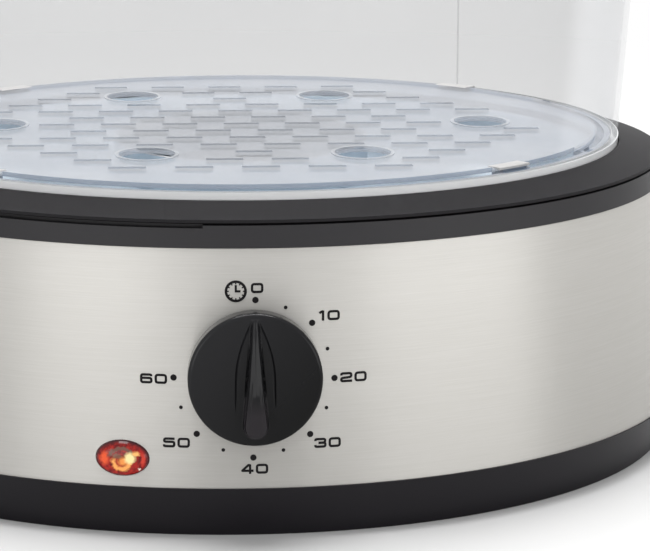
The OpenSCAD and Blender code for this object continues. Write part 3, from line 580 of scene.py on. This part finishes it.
# %% The knob, ring by ring
FACE_RINGS, SIDE_RINGS, AROUND = 104, 4, 288   # rings, and points in each
FADE_FROM = 19.2                               # where the formula's height starts to fade
UNDER_R = [20.6, 12.0, 3.4]                    # rings of the underside, the last at the shaft


def beside_dial(a, b, n):
    """Points a across, b up and n out of the band, on the timer's leaning axis."""
    up = np.array([0, math.sin(LEAN), math.cos(LEAN)])
    out = np.array([0, -math.cos(LEAN), math.sin(LEAN)])
    return DIAL + np.asarray(a)[..., None] * [1.0, 0, 0] + b[..., None] * up + n[..., None] * out


turn = np.linspace(0, 2 * np.pi, AROUND, endpoint=False)
bend = np.linspace(0, np.pi / 2, 7)[1:]
face_r = KNOB_R - BEVEL
radius = np.concatenate([np.linspace(0.1, face_r, FACE_RINGS), face_r + BEVEL * np.sin(bend),
                         np.full(SIDE_RINGS, KNOB_R), UNDER_R])
level = np.concatenate([np.full(FACE_RINGS, KNOB_T), KNOB_T - BEVEL * (1 - np.cos(bend)),
                        np.linspace(KNOB_T - BEVEL, 0.5, SIDE_RINGS + 2)[1:-1],
                        np.zeros(len(UNDER_R))])
fade = 1 - smooth(radius, FADE_FROM, face_r)
fade[FACE_RINGS:] = 0
a, b = radius[:, None] * np.cos(turn), radius[:, None] * np.sin(turn)
out = KNOB_GAP + level[:, None] + knob_height(a, b) * fade[:, None]
axis = np.array([0.0])
knob_points, knob_faces = capped(
    beside_dial(a, b, out).reshape(-1, 3), len(radius), AROUND,
    beside_dial(axis, axis, KNOB_GAP + KNOB_T + knob_height(axis, axis)),
    beside_dial(axis, axis, axis + KNOB_GAP))
knob = mesh_object("knob_sculpted", knob_points, knob_faces, "knob")
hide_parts("timer_knob")
print("knob:", len(knob.data.vertices), "points")

# %% [markdown]
# The knob's plastic is polished and nearly black. Its gloss comes from low roughness; a soft
# noise in the roughness stands for fingerprints, and a faint relief keeps the reflections from
# looking like glass. The face is painted paler towards the upper left, a painted reflection, and
# the thumb pad at the end of the grip is painted paler as well, a painted highlight.

# %% Gloss black
gloss = Finish("gloss_black", IOR=1.5, Specular_IOR_Level=0.17)
prints = gloss.noise(120.0, 3.0)
face_x, _, face_z = gloss.split()
x_mm, high_mm = face_x * 1000, (face_z - DIAL[2] * MM) * 1000
below_end = (high_mm - CREST_END).at_most(0.0)
pad_reach = (x_mm ** 2.0 + below_end ** 2.0) ** 0.5
deep = gloss.mix(prints, rgb(4, 4, 5), rgb(8, 8, 9))
# Painted reflection: the face is paler towards the upper left. Painted highlight: the thumb pad is
# paler.
painted_reflection = gloss.between(high_mm - x_mm, -24, 26)
painted_highlight_pad = gloss.between(pad_reach, 4.0, 3.5) * gloss.between(high_mm, -3.0, -9.0)
face = gloss.mix(painted_reflection, deep, rgb(34, 34, 36))
gloss.set("Base Color", gloss.mix(painted_highlight_pad * 0.7, face, rgb(46, 42, 46)))
gloss.set("Roughness", prints * 0.12 + 0.10)
gloss.bump(gloss.noise(60.0, 1.0), 0.00002)
knob.data.materials.append(gloss.material)
gloss.on("timer_knob")
print("knob's finish:", gloss.material.name)

# %% [markdown]
# ## The printed dial
# Numbers, dots and a clock sign are printed on the steel. A font would give round letters; the
# real ones are wide and square, drawn with a pen of even width. So each sign is a few pen
# strokes: a path with rounded corners, and a flat ribbon carried along it.

# %% Paths and ribbons
def rounded(path, r, closed=False, steps=5):
    """A path whose corners are replaced by curves: each corner p becomes a quadratic curve from
    r before it to r after it, with p as its middle control point."""
    path = np.asarray(path, float)
    n = len(path)
    out = []
    t = np.linspace(0, 1, steps)[:, None]
    for i in range(n):
        if not closed and i in (0, n - 1):
            out.append(path[i][None])
            continue
        before, after = path[i - 1] - path[i], path[(i + 1) % n] - path[i]
        lb, la = np.linalg.norm(before), np.linalg.norm(after)
        start = path[i] + before / lb * min(r, lb * 0.45)
        end = path[i] + after / la * min(r, la * 0.45)
        out.append((1 - t) ** 2 * start + 2 * t * (1 - t) * path[i] + t * t * end)
    return np.vstack(out)


def ribbon(path, width, closed=False):
    """Left and right edges of a pen stroke: each point moves half a width along the mitre
    between its two directions."""
    path = np.asarray(path, float)
    if closed:
        ahead, behind = np.roll(path, -1, 0) - path, path - np.roll(path, 1, 0)
    else:
        step = np.diff(path, axis=0)
        ahead, behind = np.vstack([step, step[-1:]]), np.vstack([step[:1], step])
    ahead = ahead / np.linalg.norm(ahead, axis=1, keepdims=True)
    behind = behind / np.linalg.norm(behind, axis=1, keepdims=True)
    along = ahead + behind
    along /= np.linalg.norm(along, axis=1, keepdims=True)
    side = np.stack([-along[:, 1], along[:, 0]], -1)
    reach = width / 2 / np.clip((along * ahead).sum(1, keepdims=True), 0.5, 1)
    return path + side * reach, path - side * reach


print("a rounded corner has", len(rounded([(0, 0), (1, 0), (1, 1)], 0.3)) - 2, "points")

# %% [markdown]
# Ink has a thickness too. Each stroke and dot becomes a thin closed solid that starts just above
# the steel, and `printed` bends a set of them onto the band by the band's own formula.

# %% Ink as thin solids
PRINT_LOW, PRINT_HIGH = 0.015, 0.055      # the ink's two faces, above the steel
DIAL_DROP = -1.8                          # the print's middle, below the timer's axis


def stroke_solid(path, width, closed=False):
    """A stroke as a thin closed solid in dial coordinates: four edges, low and high on each
    side, joined round and closed at the ends."""
    left, right = ribbon(path, width, closed)
    n = len(left)
    flat = np.stack([left, left, right, right], 1)
    high = np.tile([PRINT_LOW, PRINT_HIGH, PRINT_HIGH, PRINT_LOW], (n, 1))
    points = np.concatenate([flat, high[..., None]], -1).reshape(-1, 3)
    if not closed:
        return points, boxed(n, 4)
    ring = np.arange(4)
    last = (n - 1) * 4
    joint = np.stack([last + ring, last + (ring + 1) % 4, (ring + 1) % 4, ring], -1)
    return points, grid_faces(n, 4) + joint.tolist()


def disc_solid(x, y, r, sides=24):
    """A printed dot as a thin closed disc."""
    angle = np.linspace(0, 2 * np.pi, sides, endpoint=False)
    ring = np.stack([x + r * np.cos(angle), y + r * np.sin(angle)], -1)
    low = np.column_stack([ring, np.full(sides, PRINT_LOW)])
    high = np.column_stack([ring, np.full(sides, PRINT_HIGH)])
    return np.vstack([low, high]), boxed(2, sides)


def printed(name, solids):
    """Joins thin solids in dial coordinates and lays them on the band."""
    points, faces, start = [], [], 0
    for p, f in solids:
        points.append(p)
        faces += [[k + start for k in face] for face in f]
        start += len(p)
    x, y, out = np.vstack(points).T
    z = DIAL_Z + (y + DIAL_DROP) * math.cos(LEAN)
    return mesh_object(name, on_band(x, z, out[:, None]), faces, "base", smooth=False)


print("ink is", round(PRINT_HIGH - PRINT_LOW, 3), "mm thick")

# %% [markdown]
# Each digit is written once, as strokes in a box 4.0 mm wide and 3.3 mm high, and a number is its
# digits side by side. A stroke is a path of corners, and whether it closes on itself.

# %% Digits and numbers
W, H, PEN = 1.60, 1.24, 0.78              # half width and half height of a path, pen's width
DIGIT_W, ONE_W, DIGIT_GAP = 4.0, 2.4, 0.6  # room for a digit, for the narrow 1, and between
CORNER, OTHER_CORNER = {"0": 0.75, "1": 0.2, "4": 0.15}, 0.62  # how far a corner is rounded
DIGITS = {
    "0": [([(-W, -H), (-W, H), (W, H), (W, -H)], True)],
    "1": [([(0.42, H + PEN / 2), (0.42, -H - PEN / 2)], False),
          ([(-0.75, 0.78), (-0.30, 1.12), (0.40, 1.42)], False)],
    "2": [([(-W, 0.60), (-W, H), (W, H), (W, 0.02), (-W, -0.25), (-W, -H), (W + 0.3, -H)], False)],
    "3": [([(-W, 0.66), (-W, H), (W - 0.1, H), (W - 0.1, 0.06), (-0.65, 0.06)], False),
          ([(-0.65, 0.0), (W, 0.0), (W, -H), (-W, -H), (-W, -0.62)], False)],
    "4": [([(0.80, -H - PEN / 2), (0.80, H), (0.25, H), (-W - 0.1, -0.60), (W + 0.3, -0.60)],
           False)],
    "5": [([(W + 0.15, H), (-W + 0.1, H), (-W, 0.22), (W, 0.22), (W, -H), (-W, -H), (-W, -0.66)],
           False)],
    "6": [([(W - 0.05, 0.72), (W - 0.05, H), (-W, H), (-W, -H), (W, -H), (W, 0.14),
            (-W + 0.2, 0.14)], False)],
}
NUMBERS = [("0", 1.0, 29.3), ("10", 23.7, 19.9), ("20", 31.6, -0.4), ("30", 23.3, -21.4),
           ("40", 0.0, -29.2), ("50", -24.8, -20.7), ("60", -31.8, -0.1)]


def number(text, x, y):
    """The strokes of a number whose middle is at (x, y)."""
    widths = [ONE_W if digit == "1" else DIGIT_W for digit in text]
    left = x - (sum(widths) + DIGIT_GAP * (len(text) - 1)) / 2
    solids = []
    for digit, width in zip(text, widths):
        for path, closed in DIGITS[digit]:
            line = rounded(path, CORNER.get(digit, OTHER_CORNER), closed)
            solids.append(stroke_solid(line + [left + width / 2, y], PEN, closed))
        left += width + DIGIT_GAP
    return solids


numbers = printed("dial_numbers", [solid for place in NUMBERS for solid in number(*place)])
print("dial:", len(numbers.data.polygons), "faces of numbers")

# %% [markdown]
# The dots stand round the knob: a large one at each number, every 45 degrees, and a small one
# halfway between two numbers, a little nearer to the knob. The clock sign beside the 0 is a ring
# with twelve ticks and two hands. All of it is one black ink.

# %% Dots and clock sign
BIG_CIRCLE, SMALL_CIRCLE, BIG_DOT, SMALL_DOT = 25.5, 25.0, 1.02, 0.6
FIRST_DOT, DOT_STEP = 89, 22.5            # degrees: the first dot, and the way to the next
CLOCK, CLOCK_R, TICK = (-5.7, 28.3), 3.08, np.array([2.2, 2.8])  # place, ring, ends of a tick
RING_PEN, TICK_PEN, HAND_PEN = 0.84, 0.42, 0.72


def on_circle(angle, radius):
    """Points of a circle round the origin."""
    return np.stack([radius * np.cos(angle), radius * np.sin(angle)], -1)


spots = np.radians(FIRST_DOT - np.arange(13) * DOT_STEP)
dots = [disc_solid(*spot, BIG_DOT) for spot in on_circle(spots[::2], BIG_CIRCLE)]
dots += [disc_solid(*spot, SMALL_DOT) for spot in on_circle(spots[1::2], SMALL_CIRCLE)]
dots = printed("dial_dots", dots)

clock = [stroke_solid(on_circle(turn[::6], CLOCK_R) + CLOCK, RING_PEN, True)]
for hour in np.radians(np.arange(0, 360, 30)):
    clock.append(stroke_solid(on_circle(hour, TICK) + CLOCK, TICK_PEN))
for hand in ([(0, 2.0), (0, -0.32)], [(-0.31, 0), (1.5, 0)]):
    clock.append(stroke_solid(np.add(hand, CLOCK), HAND_PEN))
clock_sign = printed("dial_clock", clock)

ink = Finish("printed_ink", Roughness=0.6, Specular_IOR_Level=0.15)
ink.set("Base Color", ink.mix(ink.noise(900.0), rgb(16, 14, 16), rgb(26, 23, 25)))
for piece in (numbers, dots, clock_sign):
    piece.data.materials.append(ink.material)
print("dots:", len(spots), "and a clock sign of", len(clock), "strokes")

# %% [markdown]
# ## Small moulded marks and painted shadows
# The floor has four locking tongues, one on each bridge of its edge. Under each tongue lies a dark
# sheet, a painted shadow of the gap beneath it, and beside the end of each arc lies a smaller dark
# sheet, a painted shadow too. These are thin strips that follow the oval, so a small cross-section
# is carried along it.

# %% Tongues, and dark sheets of painted shadow
BRIDGE_AT, ARC_END = 50.0, 68.0           # degrees round the oval, from the front
NOTCH_STEP = 1.9                          # degrees from the end of an arc to its painted shadow
TONGUE_HALF, SHADOW_SHEET_HALF, NOTCH_SHADOW_HALF = 3.3, 2.6, 0.9  # half lengths in degrees
TONGUE = [(124.6, 110.78), (125.0, 110.98), (130.2, 110.98), (130.5, 110.8), (130.5, 110.1),
          (127.3, 110.7)]                 # corners: half width of the oval, and height
SHADOW_SHEET = [(130.2, 109.22), (130.2, 110.15), (130.42, 110.15), (130.6, 109.26), (132.0, 109.25),
           (132.0, 109.21)]


def carried(name, rings, body):
    """A closed solid from an array of rings (along x around x 3), with flat ends."""
    return mesh_object(name, rings.reshape(-1, 3), boxed(*rings.shape[:2]), body, smooth=False)


def along_oval(section, middle, half, steps=16):
    """Rings of a section of half widths and heights, carried along the oval: in the direction
    (sin t, -cos t), the oval of half width r lies at r / sqrt(sin^2 t + (cos t / PLAN)^2)."""
    t = np.radians(np.linspace(middle - half, middle + half, steps))[:, None]
    r, z = np.asarray(section, float).T
    away = r / np.sqrt(np.sin(t) ** 2 + (np.cos(t) / PLAN) ** 2)
    return np.stack([away * np.sin(t), -away * np.cos(t), np.broadcast_to(z, away.shape)], -1)


def quarters(at):
    """The same place in the four quarters of the oval, numbered from 1."""
    return enumerate((at, -at, 180 - at, 180 + at), 1)


tongue_white = moulded("tongue_white", rgb(204, 202, 201), 0.45, 0.00002)
# Painted shadow: dark sheets where the gaps under the tongues and beside the arcs' ends lie in
# shade.
opening_dark = moulded("opening_dark", rgb(92, 106, 124), 0.5, 0.00002)
BRIDGE_MARKS = [("tongue", TONGUE, TONGUE_HALF, tongue_white),
                ("opening", SHADOW_SHEET, SHADOW_SHEET_HALF, opening_dark)]
NOTCH_SHADOW = [("notch", SHADOW_SHEET, NOTCH_SHADOW_HALF, opening_dark)]
marks = []
for at, kinds in ((BRIDGE_AT, BRIDGE_MARKS), (ARC_END + NOTCH_STEP, NOTCH_SHADOW)):
    for place, angle in quarters(at):
        for kind, section, half, finish in kinds:
            mark = carried(f"floor_{kind}_{place}", along_oval(section, angle, half), "floor")
            mark.data.materials.append(finish.material)
            marks.append(mark)
print("marks:", len(marks))

# %% [markdown]
# The wall has a fine parting line at the front and at the back, where the two halves of its
# mould met. It climbs the wall at a fixed X, so its Y is PLAN * sqrt(r(z)^2 - x^2), where the
# half width r(z) grows with height because the wall leans out. The line stands out by a hair.

# %% Parting lines
SEAM_X, SEAM_HALF = 88.0, 0.35            # place of the line, and half its width
SEAM_IN, SEAM_PROUD = -0.02, 0.12         # how far it reaches into the wall and out of it
SEAM_LOW, SEAM_HIGH = 110.0, 194.0        # heights of the line's two ends
WALL_FOOT, WALL_FOOT_R = 109.4, 135.4     # height of the wall's foot, and its half width there
WALL_LEAN = 5.0 / 86.0                    # how much its half width grows for each mm of height

seam_z = np.linspace(SEAM_LOW, SEAM_HIGH, 24)
wall_r = WALL_FOOT_R + WALL_LEAN * (seam_z - WALL_FOOT)
for place, side in (("back", 1), ("front", -1)):
    corners = [(-SEAM_HALF, SEAM_IN), (-SEAM_HALF, SEAM_PROUD), (SEAM_HALF, SEAM_PROUD),
               (SEAM_HALF, SEAM_IN)]
    rings = np.stack([np.stack([
        np.full_like(seam_z, side * (SEAM_X + x)),
        side * PLAN * np.sqrt((wall_r + proud) ** 2 - (SEAM_X + x) ** 2), seam_z], -1)
        for x, proud in corners], 1)
    seam = carried(f"wall_parting_{place}", rings, "basket")
    seam.data.materials.append(clear.material)
print("parting lines from", SEAM_LOW, "to", SEAM_HIGH, "mm")

# %% [markdown]
# ## Floor, light and camera
# The steamer stands on a plain pale floor. Near the object the floor takes its soft shadow;
# further out it fades into plain white, so it has no edge and the clear plastic has an even
# backdrop. The white is only for the camera, mirrors and clear plastic, which Light Path tells,
# so it adds no light to the object and the lamps can stay at a plain level.

# %% Floor
FLOOR_HALF = 4.0                          # half width in metres
FADE_START, FADE_END = 0.35, 0.90         # metres from the middle: plain floor, plain white
LIFT = 0.08                               # a little white over the near floor as well

mesh = bpy.data.meshes.new("floor")
corners = [(-1, -1), (1, -1), (1, 1), (-1, 1)]
mesh.from_pydata([(x * FLOOR_HALF, y * FLOOR_HALF, 0) for x, y in corners], [], [(0, 1, 2, 3)])
floor = bpy.data.objects.new("floor", mesh)
bpy.context.scene.collection.objects.link(floor)

pale = Finish("pale_floor", Roughness=0.9, Specular_IOR_Level=0.1, Emission_Color=WHITE)
pale.set("Base Color", rgb(216, 216, 216))
seen = pale.seen()
floor_x, floor_y, _ = pale.split()
away = (floor_x ** 2.0 + floor_y ** 2.0) ** 0.5
pale.set("Emission Strength", seen * LIFT)
near = Wire(pale, pale.shader.outputs["BSDF"])
backdrop = pale.add("Emission", {"Color": WHITE, "Strength": 1.0})
far = seen * pale.between(away, FADE_START, FADE_END)
surface = pale.add("MixShader", {0: far, 1: near, 2: backdrop})
pale.fill(pale.nodes["Material Output"].inputs["Surface"], surface)
floor.data.materials.append(pale.material)
print("floor fades to white from", FADE_START, "to", FADE_END, "m")

# %% [markdown]
# The world is a dim, even fill for the object, and plain white for what is seen past it.

# %% World
FILL, BEHIND = 0.41, 1.0                  # strengths: what lights, and what is seen

world = bpy.data.worlds.new("studio")
bpy.context.scene.world = world
sky = Tree(world)
sky.nodes.remove(sky.nodes["Background"])  # the plain one that a new world starts with
fill, behind = (sky.add("Background", {"Color": WHITE, "Strength": strength})
                for strength in (FILL, BEHIND))
pick = sky.add("MixShader", {0: sky.seen(), 1: fill, 2: behind})
sky.fill(sky.nodes["World Output"].inputs["Surface"], pick)
print("world lights with", FILL, "and is seen as", BEHIND)

# %% [markdown]
# Two large soft lamps stand low in front, one on each side, and draw the broad bright zones in
# the steel. The main lamp hangs over the object, a little behind it, and gives the soft shadow
# under the foot. Each is aimed at the middle of the object.

# %% Lamps
AIM_HEIGHT = 0.1                          # metres above the floor
LAMPS = [  # name, degrees from the front, height, distance, size in metres, watts
    ("soft_left", -31, 0.28, 1.7, (0.9, 0.6), 3.4),
    ("soft_right", 45, 0.28, 1.7, (1.3, 0.6), 5.0),
    ("soft_top", 180, 1.9, 0.22, (1.4, 1.2), 48),
]
for name, azimuth, height, distance, size, watts in LAMPS:
    light = bpy.data.lights.new(name, "AREA")
    light.shape, light.energy = "RECTANGLE", watts
    light.size, light.size_y = size
    lamp = bpy.data.objects.new(name, light)
    turned = math.radians(azimuth)
    lamp.location = (distance * math.sin(turned), -distance * math.cos(turned), height)
    aim = Vector((0, 0, AIM_HEIGHT)) - lamp.location
    lamp.rotation_euler = aim.to_track_quat("-Z", "Y").to_euler()
    bpy.context.scene.collection.objects.link(lamp)
print("lamps:", ", ".join(name for name, *_ in LAMPS))

# %% [markdown]
# The camera looks down a little from the front left, through a long lens. Its place comes from
# the distance, the turn and the tilt, and its three axes are put straight into its matrix.

# %% Camera
FOCAL_PX, IMAGE_W, SENSOR = 2314.0, 650.0, 36.0   # lens in pixels, image in pixels, film in mm
TILT, TURN, ROLL = (math.radians(degrees) for degrees in (15.13, -4.02, 0.40))
TARGET, AWAY = Vector((30.6, 0, 53.8)), 849.0     # the point looked at, and how far away, in mm

look = Vector((math.sin(TURN) * math.cos(TILT), -math.cos(TURN) * math.cos(TILT), math.sin(TILT)))
right = Vector((math.cos(TURN), math.sin(TURN), 0))
up = look.cross(right)
rolled_right = right * math.cos(ROLL) + up * math.sin(ROLL)
rolled_up = up * math.cos(ROLL) - right * math.sin(ROLL)
spot = (TARGET + look * AWAY) * MM
camera = bpy.data.objects.new("camera", bpy.data.cameras.new("camera"))
bpy.context.scene.collection.objects.link(camera)
axes = Matrix((rolled_right, rolled_up, look)).transposed().to_4x4()
camera.matrix_world = Matrix.Translation(spot) @ axes
camera.data.sensor_width, camera.data.lens = SENSOR, FOCAL_PX / IMAGE_W * SENSOR
camera.data.clip_start, camera.data.clip_end = 0.01, 50.0
bpy.context.scene.camera = camera
bpy.context.scene.view_settings.view_transform = "Standard"
print("camera at", np.round(np.array(spot) * 1000, 1), "lens", round(camera.data.lens, 1))
